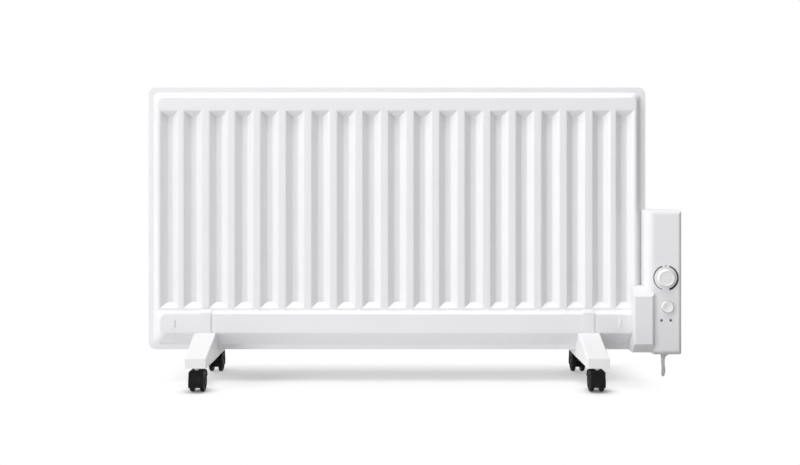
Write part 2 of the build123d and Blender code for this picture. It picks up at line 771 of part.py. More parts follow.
def thermostat_parts():
    """The thermostat, its spindle and the dished knob with a pointer notch."""
    front = -BOX_FRONT
    body_y = WALL_Y + RIM_GAP
    place = Pos(DIAL_X, 0, DIAL_Z)
    body = block(-STAT_W / 2, STAT_W / 2, body_y, body_y + STAT_D, -STAT_H / 2, STAT_H / 2)
    body += rod_y(0, front, body_y, 0, BUSH_R)
    body -= rod_y(0, front, body_y + SPINDLE_IN_BODY, 0, SPINDLE_R + RUN_GAP)
    base = front - KNOB_GAP
    top = base - KNOB_H
    knob = turned_y(
        (base, 0),
        (base, KNOB_R),
        (top + KNOB_RIM, KNOB_TOP_R + KNOB_RIM / 4),
        (top, KNOB_TOP_R - KNOB_RIM),
        (top + KNOB_DISH, KNOB_TOP_R - 2 * KNOB_RIM),
        (top + KNOB_DISH, 0),
    )
    notch = block(
        -POINTER_W / 2, POINTER_W / 2, top, top + KNOB_DISH + POINTER_DEPTH, KNOB_TOP_R - POINTER_L, KNOB_R
    )
    knob -= Rot(0, KNOB_ANGLE, 0) * notch
    shaft_end = base - SPINDLE_IN_KNOB
    shaft = rod_y(0, shaft_end, body_y + SPINDLE_IN_BODY - RIM_GAP, 0, SPINDLE_R)
    flat = block(-KNOB_R, KNOB_R, shaft_end, base, SPINDLE_FLAT, KNOB_R)
    shaft -= flat
    knob -= rod_y(0, shaft_end, base, 0, SPINDLE_R + PRESS_GAP) - Pos(0, 0, PRESS_GAP) * flat
    return {
        "thermostat_body": place * body,
        "thermostat_spindle": place * shaft,
        "thermostat_knob": place * knob,
    }


def button_parts():
    """The push button, held behind the cover by its flange, and the switch it works."""
    front = -BOX_FRONT
    top = front - BUTTON_RISE
    flange_y = WALL_Y + RIM_GAP
    back = flange_y + BUTTON_FLANGE_T
    button = turned_y(
        (top + BUTTON_DISH, 0),
        (top, BUTTON_TOP_R),
        (front - BUTTON_LAND, BUTTON_R),
        (flange_y, BUTTON_R),
        (flange_y, BUTTON_FLANGE_R),
        (back, BUTTON_FLANGE_R),
        (back, BUTTON_STEM_R),
        (back + BUTTON_STEM_L, BUTTON_STEM_R),
        (back + BUTTON_STEM_L, 0),
    )
    seat = back + BUTTON_TRAVEL + RIM_GAP
    collar_in = BUTTON_FLANGE_R + HOLE_GAP
    collar = rod_y(BUTTON_X, flange_y, seat, BUTTON_Z, SWITCH_COLLAR_R)
    collar -= rod_y(BUTTON_X, flange_y, seat, BUTTON_Z, collar_in)
    half = SWITCH_SIDE / 2
    body = block(BUTTON_X - half, BUTTON_X + half, seat, seat + SWITCH_D, BUTTON_Z - half, BUTTON_Z + half)
    well = BUTTON_STEM_L + BUTTON_TRAVEL + RIM_GAP
    body -= rod_y(BUTTON_X, seat, back + well, BUTTON_Z, BUTTON_STEM_R + RIM_GAP)
    return {"power_button": Pos(BUTTON_X, 0, BUTTON_Z) * button, "switch_body": collar + body}


def lamp_places():
    """The two lamps' middles along X."""
    return (LAMP_X - LAMP_SPREAD, LAMP_X + LAMP_SPREAD)


def pilot_lamps():
    """Two domed lamps, pushed in from behind the cover."""
    flange_y = WALL_Y
    crown = -BOX_FRONT - LAMP_RISE
    lamp = turned_y(
        (crown, 0),
        (crown, LAMP_R / 2),
        (-BOX_FRONT, LAMP_R),
        (flange_y, LAMP_R),
        (flange_y, LAMP_FLANGE_R),
        (flange_y + LAMP_FLANGE_T, LAMP_FLANGE_R),
        (flange_y + LAMP_FLANGE_T, LAMP_R),
        (flange_y + LAMP_LEN, LAMP_R),
        (flange_y + LAMP_LEN, 0),
    )
    return pieces(Pos(x, 0, LAMP_Z) * lamp for x in lamp_places())


def terminal_block():
    """A row of screw terminals on the housing's back wall."""
    x = (HOUSING_X0 + BOX_X1) / 2
    y = REAR_Y - BLOCK_D
    body = block(x - BLOCK_W / 2, x + BLOCK_W / 2, y, REAR_Y, BLOCK_Z - BLOCK_H / 2, BLOCK_Z + BLOCK_H / 2)
    for place in block_places():
        body -= rod_y(place, y, y + BLOCK_D / 2, BLOCK_Z, BLOCK_SCREW_R)
    return body


def block_places():
    """The terminal block's ways along X."""
    x = (HOUSING_X0 + BOX_X1) / 2
    pitch = BLOCK_W / BLOCK_WAYS
    return [x + (i - (BLOCK_WAYS - 1) / 2) * pitch for i in range(BLOCK_WAYS)]


def thermal_cutout():
    """The overheat cut-out, flat on the upper mounting plate, with its two tabs."""
    y = SHEET
    z = PLATE_ZS[1]
    can = rod_y(CUTOUT_X, y - CUTOUT_D, y, z, CUTOUT_R)
    half_t = CUTOUT_TAB_T / 2
    half_w = CUTOUT_TAB_W / 2
    tab_y = y - CUTOUT_D - CUTOUT_TAB
    for side in (-1, 1):
        x = CUTOUT_X + side * CUTOUT_TAB
        can += block(x - half_t, x + half_t, tab_y, y - CUTOUT_D, z - half_w, z + half_w)
    return can


def wire(*points):
    """An insulated wire with easy bends."""
    return tube(FilletPolyline(*points, radius=route_radii([Vector(*p) for p in points])), WIRE_R)


def internal_wires():
    """Wires from the lead to the block, round the lower plate's post, and on to the thermostat."""
    y = REAR_Y - BLOCK_D / 2
    low = BLOCK_Z - BLOCK_H / 2
    high = BLOCK_Z + BLOCK_H / 2
    ways = block_places()
    post_left = plate_post_x() - POST_R
    post_right = plate_post_x() + POST_R
    passes = (post_left - 2 * WIRE_SPACING, post_left - WIRE_SPACING, post_right + WIRE_SPACING)
    pass_low, pass_high = plate_span(PLATE_ZS[0])
    wires = []
    for i, (pass_x, x) in enumerate(zip(passes, ways)):
        start_x = CORD_X + (i - 1) * WIRE_SPACING
        wires.append(wire(
            (start_x, CORD_Y, TAIL_TOP), (start_x, CORD_Y, TAIL_TOP + WIRE_BEND_RISE),
            (pass_x, y, pass_low), (pass_x, y, pass_high), (x, y, (pass_high + low) / 2), (x, y, low),
        ))
    stat_y = WALL_Y + RIM_GAP + STAT_D
    loop_z = high + WIRE_LOOP_RISE
    wires.append(wire(
        (ways[0], y, high), (ways[0], y, loop_z), (ways[0], WIRE_LOOP_Y, loop_z),
        (ways[0], WIRE_LOOP_Y, DIAL_Z), (ways[0], stat_y, DIAL_Z),
    ))
    return pieces(wires)


def strain_relief():
    """The lead's tapered boot under the housing, with a flange inside."""
    floor = BOX_Z0 + COVER_WALL
    bore = CORD_R + CORD_GAP
    return Pos(CORD_X, CORD_Y, 0) * turned_z(
        (BOX_Z0 - BOOT_LEN, bore),
        (BOX_Z0 - BOOT_LEN, BOOT_END_R),
        (BOX_Z0, BOOT_TOP_R - PRESS_GAP),
        (floor, BOOT_TOP_R - PRESS_GAP),
        (floor, BOOT_FLANGE_R),
        (floor + BOOT_FLANGE_T, BOOT_FLANGE_R),
        (floor + BOOT_FLANGE_T, bore),
    )


def cord_clamp():
    """A saddle that grips the lead against a pad on the housing's back wall."""
    half = CLAMP_W / 2
    z0 = CLAMP_Z
    z1 = CLAMP_Z + CLAMP_H
    front = CORD_Y - CORD_R - CLAMP_T
    saddle = block(CORD_X - half, CORD_X + half, front, REAR_Y, z0, z1)
    return saddle - rod_z(CORD_X, CORD_Y, z0, z1, CORD_R + CORD_GAP)


def route_radii(points):
    """The widest arc that each corner of a route has room for."""
    radii = []
    for before, here, after in zip(points, points[1:], points[2:]):
        run_in = here - before
        run_out = after - here
        half_turn = math.radians(run_in.get_angle(run_out)) / 2
        radii.append(BEND_SHARE * min(run_in.length, run_out.length) / math.tan(half_turn))
    return radii


def lead_points():
    """The lead's route from its boot to the start of the coil."""
    outlet = Vector(CORD_X, CORD_Y, 0)
    return [outlet + LEAD_DIR * s + LEAD_SIDE * drift + Vector(0, 0, z) for s, drift, z in LEAD_ROUTE]


def coil_middle():
    """The coil's middle: the lead runs on to its right-hand side."""
    return lead_points()[-1] + LEAD_DIR * CORD_D - LEAD_SIDE * COIL_R - Vector(0, 0, COIL_Z)


def coil_sweep():
    """The angle through which the lead turns in the coil, in degrees."""
    return 360 * COIL_TURNS + COIL_LEAVE_HEADING + LEAD_HEADING


def coil_point(turn):
    """A place on the coil after a turn in degrees: it spirals in, climbs a layer and spirals out."""
    half = coil_sweep() / 2
    radius = COIL_R - COIL_PITCH / 360 * (half - abs(turn - half))
    climb = min(max((turn - half) / COIL_CLIMB + 0.5, 0.0), 1.0)
    height = COIL_Z + COIL_PITCH * climb * climb * (3 - 2 * climb)
    angle = math.radians(turn - LEAD_HEADING)
    return coil_middle() + Vector(radius * math.cos(angle), radius * math.sin(angle), height)


def coil_heading(turn):
    """The direction of the lead on the coil."""
    small = 0.01
    total = coil_sweep()
    if turn <= 0 or turn >= total:
        angle = math.radians(turn - LEAD_HEADING)
        return Vector(-math.sin(angle), math.cos(angle), 0)
    return (coil_point(turn + small) - coil_point(turn - small)).normalized()


def biarc(start, start_way, end, end_way):
    """Two arcs that leave the start one way and come to the end another way."""
    chord = end - start
    ways = start_way + end_way
    square = 2 * (1 - start_way.dot(end_way))
    along = 2 * chord.dot(ways)
    reach = (math.sqrt(along * along + 4 * square * chord.dot(chord)) - along) / (2 * square)
    near = start + start_way * reach
    far = end - end_way * reach
    middle = (near + far) / 2
    first = TangentArc(start, middle, tangent=start_way)
    return [first, TangentArc(middle, end, tangent=(far - near).normalized())]


def cord_coil():
    """The coiled lead, as one tube with a straight end each side."""
    steps = round(coil_sweep() / 360 * COIL_STEPS_PER_TURN)
    turns = [coil_sweep() * i / steps for i in range(steps + 1)]
    edges = [Line(coil_point(0) - coil_heading(0) * CORD_D, coil_point(0))]
    for a, b in zip(turns, turns[1:]):
        edges += biarc(coil_point(a), coil_heading(a), coil_point(b), coil_heading(b))
    last = coil_point(turns[-1])
    edges.append(Line(last, last + coil_heading(turns[-1]) * CORD_D))
    return tube(Wire(edges), CORD_R)


def coil_gap():
    """The least gap between turns of the coil, measured on points."""
    step = 5
    turns = [i * step for i in range(int(coil_sweep() / step) + 1)]
    places = [coil_point(turn) for turn in turns]
    least = COIL_R
    for i, a in enumerate(places):
        for b in places[i + 180 // step:]:
            least = min(least, (a - b).length - CORD_D)
    return least


def end_points():
    """The lead's route from the coil to the plug."""
    way = coil_heading(coil_sweep())
    side = Vector(way.Y, -way.X, 0)
    start = coil_point(coil_sweep()) + way * CORD_D
    base = Vector(start.X, start.Y, 0)
    return [base + way * s + side * drift + Vector(0, 0, z) for s, drift, z in END_ROUTE]


def coil_tie():
    """A flat band round the coil's turns."""
    turns = coil_sweep() / 720
    low_r = COIL_R - COIL_PITCH * turns - CORD_R - TIE_GAP
    high_r = COIL_R + CORD_R + TIE_GAP
    low_z = COIL_Z - CORD_R - FLOOR_LIFT
    high_z = COIL_Z2 + CORD_R + TIE_GAP
    half = TIE_W / 2
    outer = block(low_r - TIE_T, high_r + TIE_T, -half, half, low_z - TIE_T, high_z + TIE_T)
    outer = fillet(outer.edges().filter_by(Axis.Y), CORD_R)
    inner = block(low_r, high_r, -half, half, low_z, high_z)
    inner = fillet(inner.edges().filter_by(Axis.Y), CORD_R - TIE_T)
    middle = coil_middle()
    return Pos(middle.X, middle.Y, 0) * Rot(0, 0, TIE_ANGLE) * (outer - inner)


def plug_parts():
    """A two pin earthed plug, turned about its own axis and laid on the floor."""
    end = end_points()[-1]
    body = turned_x(
        (0, 0),
        (0, PLUG_BOOT_R),
        (PLUG_BOOT_LEN, PLUG_BOOT_WIDE_R),
        (PLUG_BOOT_LEN, PLUG_NECK_R),
        (PLUG_BOOT_LEN + PLUG_LEN / 2, PLUG_R - PLUG_SHOULDER),
        (PLUG_BOOT_LEN + PLUG_LEN / 2 + PLUG_SHOULDER, PLUG_R),
        (PLUG_BOOT_LEN + PLUG_LEN, PLUG_R),
        (PLUG_BOOT_LEN + PLUG_LEN, 0),
    )
    face = PLUG_BOOT_LEN + PLUG_LEN
    pins = []
    clips = []
    for side in (-1, 1):
        y = side * PIN_SPACING / 2
        body -= rod_x(face - PIN_ROOT, face, y, 0, PIN_ROOT_R + PRESS_GAP)
        tip = Pos(face + PIN_LEN - PIN_TIP / 2, y, 0) * Rot(0, 90, 0) * Cone(PIN_R, PIN_R - PIN_TIP, PIN_TIP)
        root = rod_x(face - PIN_ROOT, face, y, 0, PIN_ROOT_R)
        pins.append(root + rod_x(face, face + PIN_LEN - PIN_TIP, y, 0, PIN_R) + tip)
        z = side * (PLUG_R - CLIP_T / 2)
        clip = block(face - CLIP_LEN, face, -CLIP_W / 2, CLIP_W / 2, z - CLIP_T, z + CLIP_T)
        clip &= rod_x(face - CLIP_LEN, face, 0, 0, PLUG_R)
        body -= clip
        clips.append(clip)
    place = Pos(end.X, end.Y, end.Z) * Rot(0, 0, COIL_LEAVE_HEADING + 90)
    return {
        "plug_body": place * body,
        "plug_pins": pieces(place * pin for pin in pins),
        "plug_earth_clips": pieces(place * clip for clip in clips),
    }


def cord_parts():
    """The lead in its stretches, with what holds it and what is on it."""
    lead = lead_points()
    end = end_points()
    lead_radii = route_radii(lead)
    end_radii = route_radii(end)
    print("lead radii", [round(r, 1) for r in lead_radii], [round(r, 1) for r in end_radii])
    print("coil's least gap", round(coil_gap(), 2))
    tail = rod_z(CORD_X, CORD_Y, lead[0].Z, TAIL_TOP, CORD_R)
    stretches = {
        "power_cord": FilletPolyline(*lead, radius=lead_radii),
        "cord_end": FilletPolyline(*end, radius=end_radii),
    }
    parts = {name: tube(path, CORD_R) for name, path in stretches.items()}
    parts["cord_coil"] = cord_coil()
    section = math.pi * CORD_R * CORD_R
    for name in ("power_cord", "cord_coil", "cord_end"):
        print(name, "length", round(parts[name].volume / section, 1))
    parts["cord_tail"] = tail
    parts["strain_relief"] = strain_relief()
    parts["cord_clamp"] = cord_clamp()
    parts["coil_tie"] = coil_tie()
    parts.update(plug_parts())
    return parts


def foot():
    """One moulded foot: two sloping arms, a seat for the header and hollows below."""
    top = FACE_Z0 + CHEEK_RISE
    toe = FOOT_UNDER + FOOT_TOE_H
    half = FOOT_W / 2
    toe_half = FOOT_TOE_W / 2
    side = along_x(
        -half, half,
        (-FOOT_REACH, FOOT_UNDER), (-FOOT_REACH, toe), (-CHEEK_Y, top),
        (CHEEK_Y, top), (FOOT_REACH, toe), (FOOT_REACH, FOOT_UNDER),
    )
    plan = make_face(Polyline(
        (-half, -CHEEK_Y), (-toe_half, -FOOT_REACH), (toe_half, -FOOT_REACH), (half, -CHEEK_Y),
        (half, CHEEK_Y), (toe_half, FOOT_REACH), (-toe_half, FOOT_REACH), (-half, CHEEK_Y), close=True,
    ))
    body = side & extrude(plan, top)
    upper = body.edges().filter_by(lambda e: e.center().Z > FOOT_UNDER + FOOT_ROUND)
    body = fillet(upper.filter_by(lambda e: abs(e.center().Y) > CHEEK_Y + FOOT_ROUND), FOOT_ROUND)
    slope = (top - toe) / (FOOT_REACH - CHEEK_Y)
    skin = FOOT_WALL * math.hypot(1, slope)
    for way in (-1, 1):
        y0 = -way * (FOOT_REACH - FOOT_WALL)
        y1 = -way * FOOT_BLOCK_Y
        z0 = toe + slope * FOOT_WALL - skin
        z1 = toe + slope * (FOOT_REACH - FOOT_BLOCK_Y) - skin
        hollow = along_x(-half, half, (y0, FOOT_UNDER), (y0, z0), (y1, z1), (y1, FOOT_UNDER))
        room = offset(plan, -FOOT_WALL)
        hollow &= extrude(room, top)
        hollow -= rod_z(0, -way * CASTOR_Y, FOOT_UNDER, top, SOCKET_BOSS_R)
        body -= hollow
        body -= rod_z(0, -way * CASTOR_Y, FOOT_UNDER, SOCKET_FLOOR, SOCKET_R + PRESS_GAP)
        body -= strap_room(way)
    return body


def strap_y():
    """The middle of an upright strap, in front of the header's face."""
    return HEADER_DEPTH + STRAP_GAP + STRAP_T / 2


def strap_room(way):
    """The slot, the stud's hole and the nut's pocket that one strap needs in a foot."""
    y = -way * strap_y()
    half_w = STRAP_W / 2 + SCREW_GAP
    half_t = STRAP_T / 2 + SCREW_GAP
    room = block(-half_w, half_w, y - half_t, y + half_t, STRAP_LOW - SCREW_GAP, FACE_Z1)
    room += rod_z(0, y, FOOT_UNDER, STRAP_LOW, STUD_R + SCREW_GAP)
    return room + rod_z(0, y, FOOT_UNDER, FOOT_UNDER + NUT_POCKET_H, NUT_POCKET_R)


def strap(way):
    """A steel strap with a hook over the header's step and a stud at its lower end."""
    near = HEADER_DEPTH + STRAP_GAP
    far = near + STRAP_T
    rise = HEADER_STEP_RUN / HEADER_DEPTH
    square = math.hypot(1, rise)
    hook_y = HEADER_DEPTH - STRAP_HOOK

    def over(y, gap):
        return FACE_Z1 + gap * square + rise * (HEADER_DEPTH - y)

    outline = (
        (near, STRAP_LOW), (far, STRAP_LOW), (far, over(far, STRAP_GAP + STRAP_T)),
        (hook_y, over(hook_y, STRAP_GAP + STRAP_T)), (hook_y, over(hook_y, STRAP_GAP)),
        (near, over(near, STRAP_GAP)),
    )
    strip = along_x(-STRAP_W / 2, STRAP_W / 2, *[(-way * y, z) for y, z in outline])
    return strip + rod_z(0, -way * strap_y(), STUD_END, STRAP_LOW, STUD_R)


def strap_nut(way):
    """The nut that pulls a strap down."""
    z = FOOT_UNDER + NUT_POCKET_H - NUT_H
    nut = Pos(0, -way * strap_y(), z) * extrude(RegularPolygon(NUT_R, 6), NUT_H)
    return nut - rod_z(0, -way * strap_y(), z, z + NUT_H, STUD_R + PRESS_GAP)


def castor_stem():
    """The pin that a castor swivels on, with a collar under the foot."""
    collar = rod_z(0, 0, FOOT_UNDER - STEM_COLLAR_T, FOOT_UNDER, STEM_COLLAR_R)
    return rod_z(0, 0, STEM_LOW, STEM_TOP, STEM_R) + collar


def castor_socket():
    """The sleeve in a foot that grips a castor's stem."""
    sleeve = rod_z(0, 0, FOOT_UNDER, SOCKET_FLOOR, SOCKET_R)
    return sleeve - rod_z(0, 0, FOOT_UNDER, SOCKET_FLOOR, STEM_R + PRESS_GAP)


def castor_hood():
    """The hood over both wheels: a web between them, a mudguard and the swivel's bore."""
    wheel = (TRAIL, WHEEL_R)
    half = HOOD_W / 2
    brow = make_face(Polyline(
        (-HOOD_BROW, WHEEL_R), (-HOOD_BROW, HOOD_TOP), (TRAIL, HOOD_TOP), (TRAIL, WHEEL_R), close=True,
    ))
    side = Pos(*wheel) * Circle(HOOD_R) + brow
    front = TRAIL - HOOD_R
    back = TRAIL + HOOD_R
    keep = make_face(Polyline(
        (front, HOOD_FRONT_Z), (back, HOOD_BACK_Z), (back, 2 * HOOD_TOP), (front, 2 * HOOD_TOP), close=True,
    ))
    hood = extrude(Plane.YZ.offset(-half) * (side & keep), HOOD_W)
    face = Pos(0, HOOD_TOP / 2) * RectangleRounded(HOOD_W, HOOD_TOP, HOOD_ROUND)
    lower = Pos(0, HOOD_TOP / 4) * Rectangle(HOOD_W, HOOD_TOP / 2)
    hood &= extrude(Plane.XZ.offset(-back) * (face + lower), 2 * back)
    for way in (-1, 1):
        inside = way * WEB_W / 2
        outside = way * half
        hood -= rod_x(min(inside, outside), max(inside, outside), *wheel, WHEEL_R + HOOD_CLEAR)
    hood += rod_x(-WEB_W / 2, WEB_W / 2, *wheel, WEB_R)
    hood -= rod_x(-WEB_W / 2, WEB_W / 2, *wheel, AXLE_R + PRESS_GAP)
    return hood - rod_z(0, 0, STEM_LOW - RIM_GAP, HOOD_TOP, STEM_R + RUN_GAP)


def castor_wheel():
    """The right-hand wheel of a pair: a crowned tread, a dished face and a blind hub."""
    x0 = WHEEL_GAP / 2
    x1 = x0 + WHEEL_W
    bore = AXLE_R + AXLE_GAP
    tread = WHEEL_R - WHEEL_SHOULDER
    draft = WHEEL_DRAFT
    soft = WHEEL_SHOULDER * (1 - math.sqrt(0.5))
    return Pos(0, TRAIL, WHEEL_R) * turned_x(
        (x1 - WHEEL_SHOULDER, WHEEL_R), (x0 + draft, WHEEL_R), (x0, WHEEL_R - draft), (x0, bore),
        (x1 - WHEEL_CAP, bore), (x1 - WHEEL_CAP, 0), (x1, 0), (x1, WHEEL_HUB_R),
        (x1 - WHEEL_DISH, WHEEL_HUB_R + draft), (x1 - WHEEL_DISH, WHEEL_DISH_R - draft),
        (x1, WHEEL_DISH_R), (x1, tread), (x1 - soft, WHEEL_R - soft),
    )


def castor_axle():
    """The axle, held in the web."""
    reach = WHEEL_GAP / 2 + WHEEL_W - WHEEL_CAP - RIM_GAP
    return rod_x(-reach, reach, TRAIL, WHEEL_R, AXLE_R)


def castor_places():
    """Each castor's name and place. The wheels trail towards the panel."""
    places = {}
    for side, x in (("left", -FOOT_X), ("right", FOOT_X)):
        places["front_" + side] = Pos(x, -CASTOR_Y, 0)
        places["rear_" + side] = Pos(x, CASTOR_Y, 0) * Rot(0, 0, 180)
    return places


def stand_parts():
    """The feet with their straps, and the castors."""
    plain = foot()
    straps = []
    nuts = []
    parts = {}
    for side, x in (("left", -FOOT_X), ("right", FOOT_X)):
        parts["foot_" + side] = Pos(x, 0, 0) * plain - panel_space(SEAT_GAP)
        for way in (-1, 1):
            straps.append(Pos(x, 0, 0) * strap(way))
            nuts.append(Pos(x, 0, 0) * strap_nut(way))
    parts["hook_straps"] = pieces(straps)
    parts["strap_nuts"] = pieces(nuts)
    parts["castor_stems"] = pieces(place * castor_stem() for place in castor_places().values())
    parts["castor_sockets"] = pieces(place * castor_socket() for place in castor_places().values())
    right_wheel = castor_wheel()
    left_wheel = mirror(right_wheel, Plane.YZ)
    for name, place in castor_places().items():
        parts["castor_hood_" + name] = place * castor_hood()
        parts["castor_axle_" + name] = place * castor_axle()
        parts["castor_wheel_a_" + name] = place * left_wheel
        parts["castor_wheel_b_" + name] = place * right_wheel
    return parts


def all_parts():
    """Every piece by name."""
    parts = panels()
    parts.update(element_parts())
    parts["filler_plug"] = filler_plug()
    parts["control_cover"] = control_cover()
    parts["control_housing"] = control_housing()
    parts["terminal_cover"] = terminal_cover()
    parts["cover_screws"] = cover_screws()
    parts["mounting_plates"] = mounting_plates()
    parts["plate_screws"] = plate_screws()
    parts.update(thermostat_parts())
    parts.update(button_parts())
    parts["pilot_lamps"] = pilot_lamps()
    parts["terminal_block"] = terminal_block()
    parts["thermal_cutout"] = thermal_cutout()
    parts["internal_wires"] = internal_wires()
    parts.update(cord_parts())
    parts.update(stand_parts())
    return parts


def centred(shape):
    """A piece, or each piece of a group, moved so that the origin lies under the heater's middle."""
    solids = [Pos(-ORIGIN_X, 0, 0) * solid for solid in shape.solids()]
    if len(solids) == 1:
        return solids[0]
    return pieces(solids)


os.makedirs("parts", exist_ok=True)
for part_name, shape in all_parts().items():
    export_step(centred(shape), f"parts/{part_name}.step")
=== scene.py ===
import json
import math

import bpy
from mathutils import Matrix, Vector


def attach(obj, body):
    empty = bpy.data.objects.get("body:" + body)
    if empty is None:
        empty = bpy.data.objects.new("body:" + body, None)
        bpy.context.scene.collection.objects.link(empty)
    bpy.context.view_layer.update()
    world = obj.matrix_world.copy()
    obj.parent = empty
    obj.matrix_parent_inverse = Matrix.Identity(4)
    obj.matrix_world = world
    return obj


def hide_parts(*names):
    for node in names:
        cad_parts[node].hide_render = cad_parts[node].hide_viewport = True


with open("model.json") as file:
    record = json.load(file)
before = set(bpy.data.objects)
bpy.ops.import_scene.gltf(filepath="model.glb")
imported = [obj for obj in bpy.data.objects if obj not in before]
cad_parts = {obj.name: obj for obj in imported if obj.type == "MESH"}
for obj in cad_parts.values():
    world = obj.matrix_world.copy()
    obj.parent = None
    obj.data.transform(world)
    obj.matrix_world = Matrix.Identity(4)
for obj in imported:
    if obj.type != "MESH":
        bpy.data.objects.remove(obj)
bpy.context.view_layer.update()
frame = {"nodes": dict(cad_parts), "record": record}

scene = bpy.context.scene
nodes = frame["nodes"]

# The CAD model's X origin lies this far to the right of the panel's own middle.
ORIGIN_X = 0.03075

# Camera: level, square on to the panel, with the frame shifted as the photograph's is
IMAGE_WIDTH = 800
CAMERA_LENS = 45.81
CAMERA_SENSOR = 36.0
CAMERA_SHIFT_X = 3 / IMAGE_WIDTH
CAMERA_SHIFT_Y = -57.5 / IMAGE_WIDTH
CAMERA_PLACE = (-ORIGIN_X, -2.005, 0.405)

camera_data = bpy.data.cameras.new("camera")
camera_data.lens = CAMERA_LENS
camera_data.sensor_width = CAMERA_SENSOR
camera_data.shift_x = CAMERA_SHIFT_X
camera_data.shift_y = CAMERA_SHIFT_Y
camera = bpy.data.objects.new("camera", camera_data)
camera.location = CAMERA_PLACE
camera.rotation_euler = (math.radians(90), 0, 0)
scene.collection.objects.link(camera)
scene.camera = camera


def heading(degrees):
    """The level direction at an angle from the rear towards the right."""
    angle = math.radians(degrees)
    return Vector((math.sin(angle), math.cos(angle), 0))


# Mains lead: the route of the CAD solids, in metres and degrees
CORD_D = 0.0065
CORD_R = CORD_D / 2
CORD_FACETS = 6
FLOOR_LIFT = 0.00015
OUTLET = Vector((0.527 - ORIGIN_X, 0.012, 0.0))
LEAD_TOP = 0.042
LEAD_LOW = CORD_R + FLOOR_LIFT
LEAD_HEADING = 14.6
LEAD_DIR = heading(LEAD_HEADING)
LEAD_SIDE = Vector((LEAD_DIR.y, -LEAD_DIR.x, 0))
COIL_R = 0.045
COIL_PITCH = 0.007
COIL_TURNS = 4
COIL_CLIMB = 180.0
COIL_LEAVE_HEADING = 90.0
COIL_SWEEP = 360 * COIL_TURNS + COIL_LEAVE_HEADING + LEAD_HEADING
COIL_POINTS_PER_TURN = 24
TIE_THICK = 0.001
COIL_Z = CORD_R + FLOOR_LIFT + TIE_THICK + FLOOR_LIFT
COIL_Z2 = COIL_Z + COIL_PITCH
PLUG_R = 0.0182
PLUG_Z = PLUG_R + FLOOR_LIFT
# Each stop of a route: how far along, how far to the right, and how high
LEAD_ROUTE = (
    (0.0, 0.0, LEAD_TOP),
    (0.0, 0.0, 0.0298),
    (0.005, 0.0, 0.0177),
    (0.0143, 0.0, 0.0084),
    (0.0264, 0.0, LEAD_LOW),
    (0.045, 0.0005, LEAD_LOW),
    (0.077, 0.0018, LEAD_LOW),
    (0.130, 0.0006, LEAD_LOW),
    (0.202, -0.002, LEAD_LOW),
    (0.258, 0.002, LEAD_LOW),
    (0.306, 0.017, COIL_Z),
    (0.346, 0.024, COIL_Z),
    (0.376, 0.024, COIL_Z),
)
END_ROUTE = (
    (0.0, 0.0, COIL_Z2),
    (0.017, 0.0, COIL_Z2),
    (0.033, 0.0008, (COIL_Z2 + PLUG_Z) / 2),
    (0.050, 0.0012, PLUG_Z),
    (0.064, 0.0012, PLUG_Z),
)


def route_points(start, way, stops):
    """The points of a route that leaves a place on the floor in a direction."""
    side = Vector((way.y, -way.x, 0))
    return [start + way * far + side * drift + Vector((0, 0, z)) for far, drift, z in stops]


def lead_points():
    """The lead's route from its boot to the start of the coil."""
    return route_points(OUTLET, LEAD_DIR, LEAD_ROUTE)


def coil_point(turn, middle):
    """A place on the coil after a turn in degrees: it spirals in, climbs a layer and spirals out."""
    half = COIL_SWEEP / 2
    radius = COIL_R - COIL_PITCH / 360 * (half - abs(turn - half))
    climb = min(max((turn - half) / COIL_CLIMB + 0.5, 0.0), 1.0)
    height = COIL_Z + COIL_PITCH * climb * climb * (3 - 2 * climb)
    angle = math.radians(turn - LEAD_HEADING)
    return middle + Vector((radius * math.cos(angle), radius * math.sin(angle), height))


def cord_points():
    """Every control point of the lead, from its boot through the coil to its plug."""
    lead = lead_points()
    middle = lead[-1] + LEAD_DIR * CORD_D - LEAD_SIDE * COIL_R
    middle.z = 0.0
    steps = round(COIL_SWEEP / 360 * COIL_POINTS_PER_TURN)
    coil = [coil_point(COIL_SWEEP * i / steps, middle) for i in range(steps + 1)]
    way = heading(LEAD_HEADING - COIL_SWEEP)
    start = coil[-1] + way * CORD_D
    start.z = 0.0
    return lead + coil + route_points(start, way, END_ROUTE)


def make_cord():
    """The free lead as one smooth curve."""
    points = cord_points()
    curve = bpy.data.curves.new("mains_lead", "CURVE")
    curve.dimensions = "3D"
    curve.bevel_depth = 1.0
    curve.bevel_resolution = CORD_FACETS
    curve.resolution_u = CORD_FACETS
    spline = curve.splines.new("NURBS")
    spline.points.add(len(points) - 1)
    for point, place in zip(spline.points, points):
        point.co = (*place, 1.0)
        point.radius = CORD_R
    spline.order_u = 3
    spline.use_endpoint_u = True
    cord = bpy.data.objects.new("mains_lead", curve)
    scene.collection.objects.link(cord)
    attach(cord, "heater")
    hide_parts("power_cord", "cord_coil", "cord_end")
    return cord


cord = make_cord()


